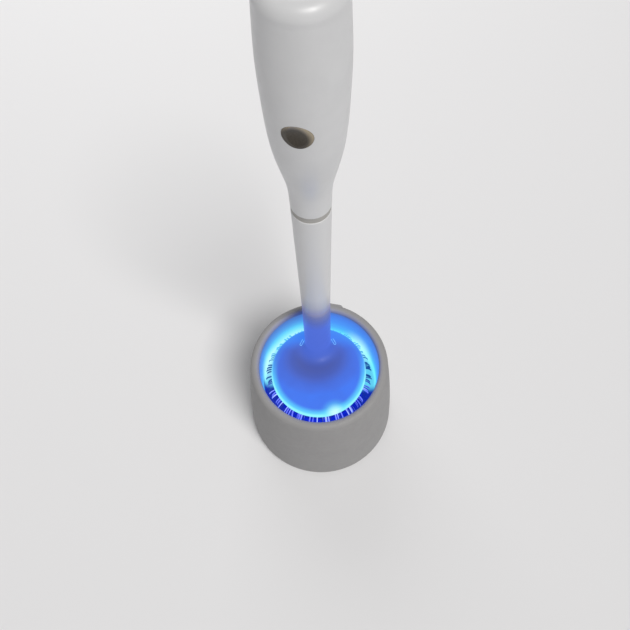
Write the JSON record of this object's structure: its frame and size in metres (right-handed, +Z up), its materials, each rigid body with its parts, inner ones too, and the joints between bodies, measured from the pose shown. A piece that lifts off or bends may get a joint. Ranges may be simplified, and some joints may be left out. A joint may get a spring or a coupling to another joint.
{
  "type": "brush sanitizer with round electric brush",
  "caption": "Rounded cup with ultraviolet lamps under a clear window, and an electric brush with a round bristle head standing head down in it.",
  "frame": {"origin": "on the table, on the cup's axis", "axes": "+Z up along the cup's axis, -Y the front (button side), +Y the back, where the brush's neck and the charging socket are"},
  "size_m": [0.0858, 0.0858, 0.304],
  "materials": {
    "shell_white": "fine matt moulded surface",
    "liner_white": "polished reflective chamber wall",
    "window_clear": "clear ultraviolet-passing window",
    "seal_grey": "soft silicone",
    "reflector": "bright vapour-coated",
    "board_green": "solder-masked board",
    "lamp": "lit lamp chip under a domed lens",
    "chip_black": "moulded component body",
    "frame_grey": "inner moulded frame",
    "cell_wrap": "shrink-wrapped cell",
    "bright_steel": "plain steel",
    "connector_steel": "plated connector shell",
    "foot_rubber": "matt rubber",
    "lead_insulation": "insulated wire",
    "head_silicone": "translucent silicone, lit blue from below",
    "neck_white": "satin white plastic",
    "core_white": "moulded core",
    "ring_grey": "grey joint ring",
    "bush_bronze": "sintered bronze bush",
    "bristle_violet": "soft nylon filaments",
    "gear_natural": "natural acetal",
    "handle_white": "satin white plastic",
    "button_bronze": "dark bronze paint",
    "copper_coil": "wound copper wire"
  },
  "bodies": {
    "base": {"outer_shell": "shell_white", "rim_ring": "shell_white", "inner_liner": "liner_white", "uv_window": "window_clear", "window_gasket": "seal_grey", "reflector_ring": "reflector", "lamp_board": "board_green", "uv_lamp_1": "lamp", "uv_lamp_2": "lamp", "uv_lamp_3": "lamp", "hall_sensor": "chip_black", "chassis": "frame_grey", "battery_pack": "cell_wrap", "charge_board": "board_green", "usb_port": "connector_steel", "usb_tongue": "chip_black", "base_plate": "shell_white", "foot_ring": "foot_rubber", "base_screws": "bright_steel", "chassis_screws": "bright_steel", "lamp_board_screws": "bright_steel", "charge_board_screws": "bright_steel", "battery_leads": "lead_insulation", "lamp_leads": "lead_insulation"},
    "brush_stem": {"head_core": "core_white", "neck_tube": "neck_white", "head_skin": "head_silicone", "head_magnet": "bright_steel", "rotor_axle": "bright_steel", "neck_ring": "ring_grey", "lower_neck_bush": "bush_bronze", "upper_neck_bush": "bush_bronze"},
    "bristle_head": {"bristle_plate": "core_white", "ring_gear": "gear_natural", "rotor_bush": "bush_bronze", "skirt_tufts": "bristle_violet", "outer_tufts": "bristle_violet", "middle_tufts": "bristle_violet", "inner_tufts": "bristle_violet"},
    "drive_line": {"drive_shaft": "bright_steel", "drive_pinion": "gear_natural"},
    "handle": {"handle_shell": "handle_white", "carrier": "frame_grey", "control_board": "board_green", "tact_switch": "chip_black", "motor": "bright_steel", "battery_cell": "cell_wrap", "nose_bush": "bush_bronze", "shaft_seal": "seal_grey", "charging_coil": "copper_coil", "end_cap": "handle_white", "end_cap_seal": "seal_grey", "board_screws": "bright_steel"},
    "button": {"power_button": "button_bronze", "button_seal": "seal_grey", "switch_plunger": "chip_black"},
    "motor_output": {"output_shaft": "bright_steel"}
  },
  "joints": [
    {"name": "brush_lift", "type": "slide", "parent": "base", "child": "brush_stem", "axis": [0, 0, 1], "range_m": [0, 0.06]},
    {"name": "bristle_spin", "type": "hinge", "parent": "brush_stem", "child": "bristle_head", "pos_m": [-0.0005, 0.0012, 0.05], "axis": [0, 0, 1], "continuous": true},
    {"name": "drive_spin", "type": "hinge", "parent": "brush_stem", "child": "drive_line", "pos_m": [-0.0005, 0.018, 0.05], "axis": [0, 0, 1], "continuous": true},
    {"name": "handle_pull", "type": "slide", "parent": "brush_stem", "child": "handle", "axis": [0, 0, 1], "range_m": [0, 0.03]},
    {"name": "motor_spin", "type": "hinge", "parent": "handle", "child": "motor_output", "pos_m": [-0.0005, 0.018, 0.2], "axis": [0, 0, 1], "continuous": true},
    {"name": "button_press", "type": "slide", "parent": "handle", "child": "button", "axis": [0.2164, 0.9763, 0], "range_m": [0, 0.0005], "stiffness_N_per_m": 2000}
  ],
  "couplings": [
    {"joint": "drive_spin", "follows": "bristle_spin", "ratio": 3.8},
    {"joint": "motor_spin", "follows": "bristle_spin", "ratio": 3.8}
  ]
}
